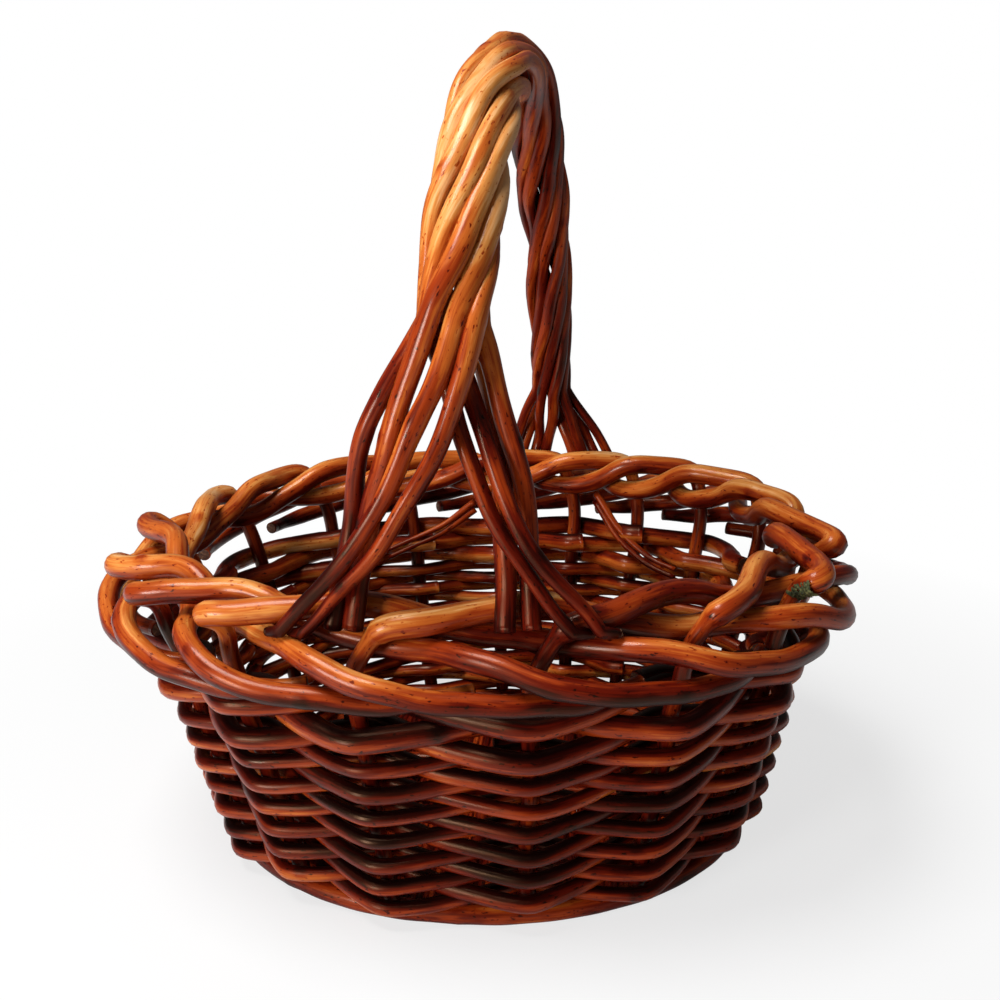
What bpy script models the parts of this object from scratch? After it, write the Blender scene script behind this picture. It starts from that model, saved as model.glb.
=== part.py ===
"""A willow foraging basket: woven oval wall, rolled rod border and a fixed twisted bow handle.

Metres, +Z up. X runs along the basket's length and Y across it, in the handle's plane.
The origin is the middle of the base, on the surface that the basket stands on.
A place on the wall is given by its turn, a share of a full turn round the oval counted from +X,
by its distance out of the wall's middle surface, and by its height.
"""

from math import asin, cos, pi, radians, sin

import bmesh
import bpy
import numpy as np

# Clearances
GAP = 0.0003
WEAVE_GAP = 0.0014
TOP_WEAVE_GAP = 0.0018

# Wall: half sizes of its middle surface at the foot, how far it leans out up to the border, and
# the oval's squareness at both
FOOT_HALF_LENGTH = 0.1245
FOOT_HALF_WIDTH = 0.102
FOOT_OVAL_POWER = 2.05
LENGTH_FLARE = 0.0290
WIDTH_FLARE = 0.0165
BORDER_HALF_LENGTH = FOOT_HALF_LENGTH + LENGTH_FLARE
BORDER_HALF_WIDTH = FOOT_HALF_WIDTH + WIDTH_FLARE
BORDER_HEIGHT = 0.131
BORDER_OVAL_POWER = 2.35

# Stakes: their places round the oval, closer at the back, with a wide space at the front middle
STAKE_DIAMETER = 0.0074
STAKE_TURN_SHARES = (
    0.025, 0.075, 0.125, 0.167, 0.206, 0.253, 0.306, 0.356, 0.411,
    0.475, 0.545, 0.603, 0.652, 0.711, 0.786, 0.850, 0.914, 0.972,
)
STAKE_COUNT = len(STAKE_TURN_SHARES)
STAKE_POINTS = 4

# Woven rows: thin ones, as many as there is room for, and the top ones under the border
ROW_DIAMETER = 0.0066
ROW_DIP = 0.0010
TOP_ROW_DIAMETER = 0.0092
TOP_ROW_COUNT = 3

# Border: each stake leans on, bends over and runs round the rim. A step of its path is the stakes
# passed since its bend, then its distance out and its height over BORDER_HEIGHT, in rod pitches,
# then how much of its elbow's own shift it takes.
BORDER_ROD_DIAMETER = 0.0103
BORDER_LEAN_SHARE = 0.18
BORDER_STEP_SHARES = (
    (-0.04, 0.05, 0.90, 0.2),
    (0.00, 0.18, 1.36, 0.8),
    (0.10, 0.12, 1.54, 1.0),
    (0.27, -0.12, 1.62, 0.8),
    (0.50, -0.62, 1.76, 0.3),
    (0.75, -1.06, 1.84, 0.0),
    (1.00, -1.26, 1.70, 0.0),
    (1.25, -1.30, 1.14, 0.0),
    (1.50, -1.16, 0.76, 0.0),
    (1.75, -1.05, 0.50, 0.0),
    (2.00, -0.87, 0.36, 0.0),
    (2.25, -0.25, 0.40, 0.0),
    (2.50, 0.72, 0.52, 0.0),
    (2.75, 1.50, 0.30, 0.0),
    (3.00, 1.84, -0.20, 0.0),
    (3.35, 1.75, -0.69, 0.0),
    (3.70, 1.46, -0.96, 0.0),
    (4.05, 1.12, -1.18, 0.0),
)

# Elbows that stand out of the rim at its ends: by stake, the stakes that they shift along and the
# rod pitches that they shift out
ELBOW_SHIFT_SHARES = {
    10: (0.0, 1.1),
    11: (0.1, 1.3),
    12: (-0.15, 1.3),
    13: (-0.3, 0.8),
    16: (-0.05, 0.5),
    17: (-0.2, 1.2),
    18: (-0.3, 1.1),
}

# Foot hoop and base
HOOP_DIAMETER = 0.0100
HOOP_POINTS = 48
HOOP_SIDES = 8
BASE_WEAVE_THICKNESS = 0.0045
BASE_STICK_DIAMETER = 0.0055
STICK_END_GAP = 0.0020
LONG_STICK_COUNT = 3
LONG_STICK_SPACING_SHARE = 0.15
SHORT_STICK_COUNT = 5
SHORT_STICK_SPACING_SHARE = 0.32

# Handle: a bow across the basket's width, of rods twisted round each other like a rope
HANDLE_ROD_COUNT = 8
HANDLE_FRONT_DIAMETER = 0.0080
HANDLE_BACK_DIAMETER = 0.0056
HANDLE_TIP_DIAMETER = 0.0050
HANDLE_TOP_HEIGHT = 0.354
HANDLE_FRONT_FOOT_X = 0.001
HANDLE_BACK_FOOT_X = 0.029
HANDLE_FOOT_SHIFT = 0.0005
HANDLE_TOP_SHIFT = 0.007
HANDLE_BOW_POWER = 0.9
HANDLE_TURNS = 1.56
HANDLE_LAY_ANGLE = 0.33
HANDLE_WOUND_POINTS = 26
HANDLE_FRONT_SPREAD_SHARE = 0.58
HANDLE_BACK_SPREAD_SHARE = 0.26
HANDLE_SPREAD_POINTS = 7

# Each rod's foot: its place in the border in stakes, distance out and height in border rod pitches,
# then how far it swings to +X and outward a third and two thirds of the way down, in its diameters
HANDLE_FRONT_ANGLE = 30
HANDLE_FRONT_FOOT_SHARES = (
    (12.72, 0.5, 1.20, 1.4, 0.8, 1.7, 1.3),
    (12.56, 0.6, 1.20, 1.2, 0.7, 1.7, 1.2),
    (13.04, 0.1, 1.33, -0.6, 0.0, -0.6, -0.5),
    (12.91, 0.1, 1.30, -1.2, 0.1, -0.8, -0.7),
    (14.24, 0.9, 1.52, -0.8, 0.3, -1.3, 0.5),
    (14.40, 0.8, 1.40, -0.9, 0.6, -1.4, 1.2),
    (13.86, 0.2, 1.35, 0.6, -1.0, 0.5, -0.5),
    (14.00, 0.0, 1.33, 0.5, -0.5, 0.6, -0.6),
)
HANDLE_BACK_FOOT_SHARES = (
    (4.86, 0.0, 1.28, -0.2, 0.3, -0.1, 0.4),
    (4.57, 0.6, 1.25, 0.1, 0.2, 0.2, 1.1),
    (4.42, 0.8, 1.40, 0.2, 0.0, 0.1, 0.7),
    (3.82, 0.0, 1.25, 0.0, 0.0, 0.0, 0.2),
    (3.50, 0.7, 1.40, 0.0, 0.0, 0.2, 0.0),
    (3.66, 0.3, 1.30, 0.0, 0.4, 0.0, 0.5),
    (3.99, 0.0, 1.33, 0.0, 0.4, 0.0, 0.1),
    (4.71, 0.3, 1.25, 0.0, 0.6, 0.0, 0.3),
)
HANDLE_TIP_RODS = (0, 1, 4, 5)

# A rod has six sides, so it is thinner across its flats, which lie above and below
ROD_SIDES_LEVEL = 1
ROD_SIDES = 4 + 2 * ROD_SIDES_LEVEL
FLAT_SHARE = cos(pi / ROD_SIDES)


def make_material(name, colour, roughness):
    """A varnished willow finish."""
    material = bpy.data.materials.new(name)
    material.use_nodes = True
    shader = material.node_tree.nodes["Principled BSDF"]
    shader.inputs["Base Color"].default_value = (*colour, 1.0)
    shader.inputs["Roughness"].default_value = roughness
    shader.inputs["Metallic"].default_value = 0.0
    return material


def clear_scene():
    for thing in list(bpy.data.objects):
        bpy.data.objects.remove(thing, do_unlink=True)


def wall_frame(turn, height):
    """The point of the wall's middle surface at this turn and height, and the level way out of it."""
    rise = height / BORDER_HEIGHT
    half_length = FOOT_HALF_LENGTH + (BORDER_HALF_LENGTH - FOOT_HALF_LENGTH) * rise
    half_width = FOOT_HALF_WIDTH + (BORDER_HALF_WIDTH - FOOT_HALF_WIDTH) * rise
    power = FOOT_OVAL_POWER + (BORDER_OVAL_POWER - FOOT_OVAL_POWER) * rise
    across, along = sin(2 * pi * turn), cos(2 * pi * turn)
    reach = (abs(along) ** power + abs(across) ** power) ** (-1 / power)
    point = np.array((half_length * reach * along, half_width * reach * across, height))
    outward = np.array((
        np.sign(along) * abs(reach * along) ** (power - 1) / half_length,
        np.sign(across) * abs(reach * across) ** (power - 1) / half_width,
        0,
    ))
    return point, outward / np.linalg.norm(outward)


def wall_point(turn, out, height):
    point, outward = wall_frame(turn, height)
    return point + outward * out


def stake_turn(step):
    """The turn reached after this many stakes, whole or not, counted past the first stake."""
    whole = int(np.floor(step))
    before = STAKE_TURN_SHARES[whole % STAKE_COUNT] + whole // STAKE_COUNT
    after = STAKE_TURN_SHARES[(whole + 1) % STAKE_COUNT] + (whole + 1) // STAKE_COUNT
    return before + (after - before) * (step - whole)


def rod(name, points, diameters, material, closed=False):
    """A round rod along the points, with its own diameter at each of them."""
    curve = bpy.data.curves.new(name, "CURVE")
    curve.dimensions = "3D"
    curve.bevel_depth = max(diameters) / 2
    curve.bevel_resolution = ROD_SIDES_LEVEL
    curve.use_fill_caps = not closed
    spline = curve.splines.new("POLY")
    spline.points.add(len(points) - 1)
    spline.use_cyclic_u = closed
    spline.use_smooth = True
    for knot, point, diameter in zip(spline.points, points, diameters):
        knot.co = (*point, 1.0)
        knot.radius = diameter / max(diameters)
    curve.materials.append(material)
    thing = bpy.data.objects.new(name, curve)
    bpy.context.collection.objects.link(thing)
    return thing


def mesh_piece(name, mesh_data, material):
    mesh = bpy.data.meshes.new(name)
    bmesh.ops.recalc_face_normals(mesh_data, faces=mesh_data.faces)
    mesh_data.to_mesh(mesh)
    mesh_data.free()
    mesh.materials.append(material)
    thing = bpy.data.objects.new(name, mesh)
    bpy.context.collection.objects.link(thing)
    return thing


def make_foot_hoop(material):
    """The thick rod round the foot. Its section has a flat side down, which the basket stands on."""
    shape = bmesh.new()
    radius = HOOP_DIAMETER / 2
    flat_reach = radius * cos(pi / HOOP_SIDES)
    loops = []
    for place in range(HOOP_POINTS):
        loop = []
        for side in range(HOOP_SIDES):
            angle = 2 * pi * (side + 0.5) / HOOP_SIDES
            point = wall_point(place / HOOP_POINTS, radius * sin(angle), 0)
            point[2] = flat_reach - radius * cos(angle)
            loop.append(shape.verts.new(point))
        loops.append(loop)
    for here, there in zip(loops, loops[1:] + loops[:1]):
        for side in range(HOOP_SIDES):
            beside = (side + 1) % HOOP_SIDES
            shape.faces.new((here[side], here[beside], there[beside], there[side]))
    mesh_piece("foot_hoop", shape, material)
    return 2 * flat_reach


def make_base(material, stick_material):
    """The woven bottom as one flat oval, and the sticks that lie across it inside the hoop."""
    shape = bmesh.new()
    inner = -(HOOP_DIAMETER / 2 + GAP)
    outline = [wall_point(place / HOOP_POINTS, inner, 0) for place in range(HOOP_POINTS)]
    face = shape.faces.new([shape.verts.new(point) for point in outline])
    raised = bmesh.ops.extrude_face_region(shape, geom=[face])["geom"]
    corners = [part for part in raised if isinstance(part, bmesh.types.BMVert)]
    bmesh.ops.translate(shape, verts=corners, vec=(0, 0, BASE_WEAVE_THICKNESS))
    mesh_piece("base_weave", shape, material)

    stick_radius = BASE_STICK_DIAMETER / 2
    low = BASE_WEAVE_THICKNESS + GAP + stick_radius * FLAT_SHARE
    high = low + BASE_STICK_DIAMETER * FLAT_SHARE + GAP
    for number in range(SHORT_STICK_COUNT):
        x = (number - (SHORT_STICK_COUNT - 1) / 2) * SHORT_STICK_SPACING_SHARE * FOOT_HALF_LENGTH
        reach = oval_reach(abs(x) + stick_radius, FOOT_HALF_LENGTH, FOOT_HALF_WIDTH)
        end = reach - HOOP_DIAMETER / 2 - STICK_END_GAP
        points = [(x, -end, low), (x, end, low)]
        rod(f"base_stick_short_{number + 1}", points, [BASE_STICK_DIAMETER] * 2, stick_material)
    for number in range(LONG_STICK_COUNT):
        y = (number - (LONG_STICK_COUNT - 1) / 2) * LONG_STICK_SPACING_SHARE * FOOT_HALF_WIDTH
        reach = oval_reach(abs(y) + stick_radius, FOOT_HALF_WIDTH, FOOT_HALF_LENGTH)
        end = reach - STAKE_DIAMETER / 2 - ROW_DIAMETER - WEAVE_GAP - STICK_END_GAP
        points = [(-end, y, high), (end, y, high)]
        rod(f"base_stick_long_{number + 1}", points, [BASE_STICK_DIAMETER] * 2, stick_material)


def oval_reach(place, half_size, other_half_size):
    """How far the foot's oval reaches to the side at this place along one of its axes."""
    return other_half_size * (1 - (place / half_size) ** FOOT_OVAL_POWER) ** (1 / FOOT_OVAL_POWER)


def row_heights(first_height):
    """(height, diameter) of each woven row, from the foot up, each resting on the one below."""
    lowest_rise = BORDER_STEP_SHARES[-1][2] * (BORDER_ROD_DIAMETER + GAP)
    border_low = BORDER_HEIGHT + lowest_rise - BORDER_ROD_DIAMETER / 2 - GAP
    top_rows = TOP_ROW_COUNT * (TOP_ROW_DIAMETER * FLAT_SHARE + GAP)
    thin_count = int((border_low - top_rows - first_height) / (ROW_DIAMETER * FLAT_SHARE + GAP))
    rows = []
    height = first_height
    for number in range(thin_count + TOP_ROW_COUNT):
        diameter = ROW_DIAMETER if number < thin_count else TOP_ROW_DIAMETER
        height += diameter / 2 * FLAT_SHARE + GAP
        rows.append((height, diameter))
        height += diameter / 2 * FLAT_SHARE
    return rows


def make_rows(rows, material, top_material):
    """Each row goes in front of one stake and behind the next, and the next row does the reverse."""
    thin_count = len(rows) - TOP_ROW_COUNT
    for number, (height, diameter) in enumerate(rows):
        thin = number < thin_count
        out = (STAKE_DIAMETER + diameter) / 2 + (WEAVE_GAP if thin else TOP_WEAVE_GAP)
        points = []
        for stake in range(STAKE_COUNT):
            side = 1 if (stake + number) % 2 else -1
            points.append(wall_point(stake_turn(stake), side * out, height - side * ROW_DIP))
            points.append(wall_point(stake_turn(stake + 0.5), 0, height))
        name = f"weaver_{number + 1:02d}" if thin else f"top_weaver_{number + 1 - thin_count}"
        finish = material if thin else top_material
        rod(name, points, [diameter] * len(points), finish, closed=True)


def border_point(step, out, rise):
    """A place in the border: stakes passed, then distance out and height in border rod pitches."""
    pitch = BORDER_ROD_DIAMETER + GAP
    point = wall_point(stake_turn(step), out * pitch, BORDER_HEIGHT)
    return point + np.array((0, 0, rise * pitch))


def make_stakes(foot_height, material):
    """Each stake stands on the hoop, rises through the rows and bends over into the border."""
    low = foot_height + GAP
    for stake in range(STAKE_COUNT):
        points = []
        diameters = []
        for place in range(STAKE_POINTS):
            height = low + (BORDER_HEIGHT - TOP_ROW_DIAMETER - low) * place / (STAKE_POINTS - 1)
            points.append(wall_point(stake_turn(stake), 0, height))
            diameters.append(STAKE_DIAMETER)
        shift, out_shift = ELBOW_SHIFT_SHARES.get(stake + 1, (0, 0))
        for number, (passed, out, rise, part) in enumerate(BORDER_STEP_SHARES):
            step = stake + BORDER_LEAN_SHARE + passed + part * shift
            points.append(border_point(step, out + part * out_shift, rise))
            diameters.append(BORDER_ROD_DIAMETER if number else STAKE_DIAMETER)
        rod(f"stake_{stake + 1:02d}", points, diameters, material)


def bow_middle(share):
    """The middle of the twisted bundle at this share of the bow, from the front to the back."""
    sweep = (1 - cos(pi * share)) / 2
    x = HANDLE_FRONT_FOOT_X + (HANDLE_BACK_FOOT_X - HANDLE_FRONT_FOOT_X) * sweep
    y = HANDLE_FOOT_SHIFT - BORDER_HALF_WIDTH * cos(pi * share)
    z = BORDER_HEIGHT + (HANDLE_TOP_HEIGHT - BORDER_HEIGHT) * sin(pi * share) ** HANDLE_BOW_POWER
    return np.array((x + HANDLE_TOP_SHIFT * sin(pi * share), y, z))


def bow_share(rise):
    """The share of the bow, counted from its nearer foot, at which it has risen by this share."""
    return asin(rise ** (1 / HANDLE_BOW_POWER)) / pi


def smooth_path(knots, count):
    """Points at even steps along a smooth curve through the knots."""
    knots = [np.asarray(knot) for knot in knots]
    ends = [2 * knots[0] - knots[1], *knots, 2 * knots[-1] - knots[-2]]
    fine = []
    for before, start, end, after in zip(ends, ends[1:], ends[2:], ends[3:]):
        for t in np.linspace(0, 1, count, endpoint=False):
            bend = (2 * before - 5 * start + 4 * end - after) * t * t
            turn = (3 * start - before - 3 * end + after) * t ** 3
            fine.append((2 * start + (end - before) * t + bend + turn) / 2)
    fine = np.array([*fine, knots[-1]])
    steps = np.linalg.norm(np.diff(fine, axis=0), axis=1)
    lengths = np.concatenate([[0], np.cumsum(steps)])
    places = np.linspace(0, lengths[-1], count)
    return [np.array([np.interp(at, lengths, fine[:, axis]) for axis in range(3)]) for at in places]


def spread(wound_end, way, foot, diameter):
    """A rod's way from the end of the wound part down to its foot, first to last."""
    step, out, rise, first_swing, first_swell, next_swing, next_swell = foot
    end = border_point(step, out, rise)
    outward = wall_frame(stake_turn(step), BORDER_HEIGHT)[1] * diameter
    sideways = np.array((diameter, 0, 0))
    first = (2 * wound_end + end) / 3 + sideways * first_swing + outward * first_swell
    later = (wound_end + 2 * end) / 3 + sideways * next_swing + outward * next_swell
    return smooth_path([wound_end - way * diameter, wound_end, first, later, end], HANDLE_SPREAD_POINTS)[1:]


def make_handle(material):
    """Rods wound round one another over the bow, which spread apart to their feet in the border."""
    first = bow_share(HANDLE_FRONT_SPREAD_SHARE)
    last = 1 - bow_share(HANDLE_BACK_SPREAD_SHARE)
    shares = np.linspace(first, last, HANDLE_WOUND_POINTS)
    middles = np.array([bow_middle(share) for share in shares])
    ways = np.gradient(middles, axis=0)
    lengths = np.concatenate([[0], np.cumsum(np.linalg.norm(np.diff(middles, axis=0), axis=1))])
    for number in range(HANDLE_ROD_COUNT):
        wound = []
        diameters = []
        for middle, way, length in zip(middles, ways, lengths):
            along = way / np.linalg.norm(way)
            side = np.cross((1, 0, 0), along)
            side /= np.linalg.norm(side)
            across = np.cross(along, side)
            share = length / lengths[-1]
            diameter = HANDLE_FRONT_DIAMETER + (HANDLE_BACK_DIAMETER - HANDLE_FRONT_DIAMETER) * share
            reach = (diameter + GAP) / (2 * sin(pi / HANDLE_ROD_COUNT) * cos(HANDLE_LAY_ANGLE))
            angle = radians(HANDLE_FRONT_ANGLE)
            angle += 2 * pi * (number / HANDLE_ROD_COUNT - share * HANDLE_TURNS)
            wound.append(middle + reach * (across * cos(angle) + side * sin(angle)))
            diameters.append(diameter)
        down = (wound[0] - wound[1]) / np.linalg.norm(wound[0] - wound[1])
        front = spread(wound[0], down, HANDLE_FRONT_FOOT_SHARES[number], diameters[0])
        down = (wound[-1] - wound[-2]) / np.linalg.norm(wound[-1] - wound[-2])
        back = spread(wound[-1], down, HANDLE_BACK_FOOT_SHARES[number], diameters[-1])
        foot_diameter = HANDLE_TIP_DIAMETER if number in HANDLE_TIP_RODS else HANDLE_FRONT_DIAMETER
        tapers = np.linspace(foot_diameter, diameters[0], len(front), endpoint=False)
        points = [*front[::-1], *wound, *back]
        diameters = [*tapers, *diameters, *[diameters[-1]] * len(back)]
        rod(f"handle_rod_{number + 1}", points, diameters, material)


def main():
    clear_scene()
    dark = make_material("dark_willow", (0.16, 0.035, 0.015), 0.35)
    red = make_material("red_willow", (0.26, 0.06, 0.02), 0.32)
    amber = make_material("amber_willow", (0.42, 0.14, 0.03), 0.30)
    hoop_top = make_foot_hoop(amber)
    make_base(dark, red)
    rows = row_heights(hoop_top)
    make_rows(rows, red, dark)
    make_stakes(hoop_top, amber)
    make_handle(red)


main()
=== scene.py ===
"""A varnished willow foraging basket: every rod of its wall, border, base and handle.

Metres, +Z up, in the part's own frame: X along the basket, Y across it in the handle's plane.
A place on the wall is its turn round the oval from +X, its distance out and its height.
A tone is a place on the stain's scale of colours, from nearly black at 0 to pale gold at 1. Some
tones also hold painted light and shade, worked in where the rods are made.
"""

from math import asin, cos, exp, pi, radians, sin

import bpy
import numpy as np
from mathutils import Matrix, Vector


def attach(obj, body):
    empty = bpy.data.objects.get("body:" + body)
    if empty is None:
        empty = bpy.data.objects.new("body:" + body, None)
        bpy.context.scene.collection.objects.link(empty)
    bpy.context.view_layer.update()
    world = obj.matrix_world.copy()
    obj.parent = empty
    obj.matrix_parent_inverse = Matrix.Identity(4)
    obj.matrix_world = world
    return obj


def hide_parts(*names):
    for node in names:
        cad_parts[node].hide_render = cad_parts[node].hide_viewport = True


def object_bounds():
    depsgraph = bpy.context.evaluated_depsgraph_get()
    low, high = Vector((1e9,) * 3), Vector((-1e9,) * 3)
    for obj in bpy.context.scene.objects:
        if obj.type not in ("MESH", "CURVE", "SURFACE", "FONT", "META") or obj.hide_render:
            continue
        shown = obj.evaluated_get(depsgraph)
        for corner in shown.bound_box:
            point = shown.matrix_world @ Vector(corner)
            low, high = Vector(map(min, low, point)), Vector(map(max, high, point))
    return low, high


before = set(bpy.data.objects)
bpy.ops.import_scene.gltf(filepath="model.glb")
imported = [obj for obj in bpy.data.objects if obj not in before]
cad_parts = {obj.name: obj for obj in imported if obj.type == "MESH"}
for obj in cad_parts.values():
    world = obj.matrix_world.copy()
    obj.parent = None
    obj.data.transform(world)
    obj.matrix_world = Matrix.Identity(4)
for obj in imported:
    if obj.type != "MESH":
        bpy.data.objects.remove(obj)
cad_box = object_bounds()

# Sizes of the part
GAP = 0.0003
WEAVE_GAP = 0.0014
TOP_WEAVE_GAP = 0.0018
FOOT_HALF_LENGTH = 0.1245
FOOT_HALF_WIDTH = 0.102
FOOT_OVAL_POWER = 2.05
LENGTH_FLARE = 0.0290
WIDTH_FLARE = 0.0165
BORDER_HALF_LENGTH = FOOT_HALF_LENGTH + LENGTH_FLARE
BORDER_HALF_WIDTH = FOOT_HALF_WIDTH + WIDTH_FLARE
BORDER_HEIGHT = 0.131
BORDER_OVAL_POWER = 2.35
STAKE_DIAMETER = 0.0074
STAKE_TURN_SHARES = (
    0.025, 0.075, 0.125, 0.167, 0.206, 0.253, 0.306, 0.356, 0.411,
    0.475, 0.545, 0.603, 0.652, 0.711, 0.786, 0.850, 0.914, 0.972,
)
STAKE_COUNT = len(STAKE_TURN_SHARES)
FLAT_SHARE = cos(pi / 6)
ROW_DIAMETER = 0.0066
ROW_COUNT = 13
ROW_OUT = (STAKE_DIAMETER + ROW_DIAMETER) / 2 + WEAVE_GAP
TOP_ROW_DIAMETER = 0.0092
TOP_ROW_COUNT = 3
TOP_ROW_OUT = (STAKE_DIAMETER + TOP_ROW_DIAMETER) / 2 + TOP_WEAVE_GAP
HOOP_DIAMETER = 0.0100
HOOP_SIDES = 8
HOOP_HEIGHT = HOOP_DIAMETER * cos(pi / HOOP_SIDES)
BORDER_ROD_DIAMETER = 0.0103
BORDER_LEAN_SHARE = 0.18
BORDER_STEP_SHARES = (
    (-0.04, 0.05, 0.90, 0.2),
    (0.00, 0.18, 1.36, 0.8),
    (0.10, 0.12, 1.54, 1.0),
    (0.27, -0.12, 1.62, 0.8),
    (0.50, -0.62, 1.76, 0.3),
    (0.75, -1.06, 1.84, 0.0),
    (1.00, -1.26, 1.70, 0.0),
    (1.25, -1.30, 1.14, 0.0),
    (1.50, -1.16, 0.76, 0.0),
    (1.75, -1.05, 0.50, 0.0),
    (2.00, -0.87, 0.36, 0.0),
    (2.25, -0.25, 0.40, 0.0),
    (2.50, 0.72, 0.52, 0.0),
    (2.75, 1.50, 0.30, 0.0),
    (3.00, 1.84, -0.20, 0.0),
    (3.35, 1.75, -0.69, 0.0),
    (3.70, 1.46, -0.96, 0.0),
    (4.05, 1.12, -1.18, 0.0),
)
ELBOW_SHIFT_SHARES = {
    10: (0.0, 1.1),
    11: (0.1, 1.3),
    12: (-0.15, 1.3),
    13: (-0.3, 0.8),
    16: (-0.05, 0.5),
    17: (-0.2, 1.2),
    18: (-0.3, 1.1),
}
BASE_THICKNESS = 0.0045
BASE_STICK_DIAMETER = 0.0055
LONG_STICK_COUNT = 3
LONG_STICK_SPACING_SHARE = 0.15
SHORT_STICK_COUNT = 5
SHORT_STICK_SPACING_SHARE = 0.32
STICK_END_GAP = 0.0020
HANDLE_ROD_COUNT = 8
HANDLE_FRONT_DIAMETER = 0.0080
HANDLE_BACK_DIAMETER = 0.0056
HANDLE_TIP_DIAMETER = 0.0050
HANDLE_TOP_HEIGHT = 0.354
HANDLE_FRONT_FOOT_X = 0.001
HANDLE_BACK_FOOT_X = 0.029
HANDLE_FOOT_SHIFT = 0.0005
HANDLE_TOP_SHIFT = 0.007
HANDLE_BOW_POWER = 0.9
HANDLE_TURNS = 1.56
HANDLE_LAY_ANGLE = 0.33
HANDLE_FRONT_SPREAD_SHARE = 0.58
HANDLE_BACK_SPREAD_SHARE = 0.26
HANDLE_FRONT_ANGLE = 30
HANDLE_FRONT_FOOT_SHARES = (
    (12.72, 0.5, 1.20, 1.4, 0.8, 1.7, 1.3),
    (12.56, 0.6, 1.20, 1.2, 0.7, 1.7, 1.2),
    (13.04, 0.1, 1.33, -0.6, 0.0, -0.6, -0.5),
    (12.91, 0.1, 1.30, -1.2, 0.1, -0.8, -0.7),
    (14.24, 0.9, 1.52, -0.8, 0.3, -1.3, 0.5),
    (14.40, 0.8, 1.40, -0.9, 0.6, -1.4, 1.2),
    (13.86, 0.2, 1.35, 0.6, -1.0, 0.5, -0.5),
    (14.00, 0.0, 1.33, 0.5, -0.5, 0.6, -0.6),
)
HANDLE_BACK_FOOT_SHARES = (
    (4.86, 0.0, 1.28, -0.2, 0.3, -0.1, 0.4),
    (4.57, 0.6, 1.25, 0.1, 0.2, 0.2, 1.1),
    (4.42, 0.8, 1.40, 0.2, 0.0, 0.1, 0.7),
    (3.82, 0.0, 1.25, 0.0, 0.0, 0.0, 0.2),
    (3.50, 0.7, 1.40, 0.0, 0.0, 0.2, 0.0),
    (3.66, 0.3, 1.30, 0.0, 0.4, 0.0, 0.5),
    (3.99, 0.0, 1.33, 0.0, 0.4, 0.0, 0.1),
    (4.71, 0.3, 1.25, 0.0, 0.6, 0.0, 0.3),
)
HANDLE_TIP_RODS = (0, 1, 4, 5)

# How finely the rods are drawn, and how far inside the part's box they stay
RING_SPACING = 0.0026
RING_SIDES = 14
FEWEST_RINGS = 3
SPAN_POINTS = 12
BOX_MARGIN = 0.00005

# How the rods are worked out, and the two kinds of faces that they have
SOFTENING_PASSES = 4
NEARLY_UPRIGHT = 0.9
LONGEST_BARK_SHIFT = 10
SEED_LIMIT = 1 << 30
BARK_FACE = 0
CUT_FACE = 1

# A willow rod's own shape: slow drift, uneven girth, knots and bevelled ends
DRIFT_WAVES = 4
DRIFT_PEAK = 2.2
DRIFT_LENGTHS = (0.03, 0.11)
WOBBLE = 0.0004
STEADY_END_LENGTH = 0.02
GIRTH_DRIFT_SHARE = 0.030
GIRTH_DRIFT_LENGTHS = (0.02, 0.08)
OVAL_SHARES = (0.01, 0.04)
FIRST_KNOT_PLACES = (0.01, 0.05)
KNOT_SPACINGS = (0.035, 0.095)
KNOT_SIZES = (0.5, 1.0)
KNOT_LENGTH = 0.0026
KNOT_SWELL_SHARE = 0.12
COLLAR_LENGTH = 0.0050
COLLAR_SWELL_SHARE = 0.02
BEVEL_DEPTH = 0.0004
BEVEL_SHARE = 0.86
END_DOME_SHARE = 1.1

# The foot hoop and the sticks over the bottom
HOOP_POINTS = 240
HOOP_GIRTH_SHARE = 0.92
HOOP_KNOTS = 0.6
HOOP_TONE = 0.43
HOOP_SEED = 31
SHORT_STICK_TONE = 0.38
SHORT_STICK_SEED = 40
LONG_STICK_TONE = 0.40
LONG_STICK_SEED = 50

# The thin weavers of the bottom, whose ends lie inside the hoop
BOTTOM_WEAVER_DIAMETER = 0.0034
BOTTOM_WIDEST_PITCH = 0.0030
BOTTOM_EDGE_SHARE = 0.62
BOTTOM_EDGE_OUT = -HOOP_DIAMETER / 2 * BOTTOM_EDGE_SHARE
BOTTOM_EDGE_POINTS = 200
BOTTOM_KNOT_SPACING = 0.002
BOTTOM_FEWEST_KNOTS = 5
BOTTOM_LIFT = 0.0005
BOTTOM_WAVE = 0.012
BOTTOM_WOBBLE = 0.00015
BOTTOM_TONE = 0.28
BOTTOM_TONE_SPREAD = (-0.08, 0.14)
BOTTOM_SEED = 61

# The woven rows, with lengths along them counted in stakes
WOVEN_DIP = 0.0019
SWAY_FIRMNESS = 0.975
ROW_RODS = 3
TOP_ROW_RODS = 6
ROW_START_STEPS = 0.22
ROW_END_STEPS = 0.30
ROW_STEP = 0.05
SPLICE_CHOICES = 3
SPLICE_STEPS = 5
TUCK_IN_STEPS = 0.6
TUCK_IN_SHARE = 0.55
TUCK_UP_SHARE = 0.25
BUTT_SHARES = (1.06, 1.16)
TIP_SHARES = (0.94, 1.02)
ROW_LIFT = 0.0004
ROW_WOBBLE = 0.00035
ROW_SEED = 7
WALL_BACK_TONE = 0.675
WALL_FRONT_DARKENING = 0.275
ROW_TONE_SPREAD = 0.09
# Painted light on the rows: undersides lighter as painted light bounced up from the floor, sides
# against the rows above and below darker as painted shade
ROW_PAINTED_BOUNCE_LIGHT = 0.19
ROW_PAINTED_CREVICE_SHADE = 0.26

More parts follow.
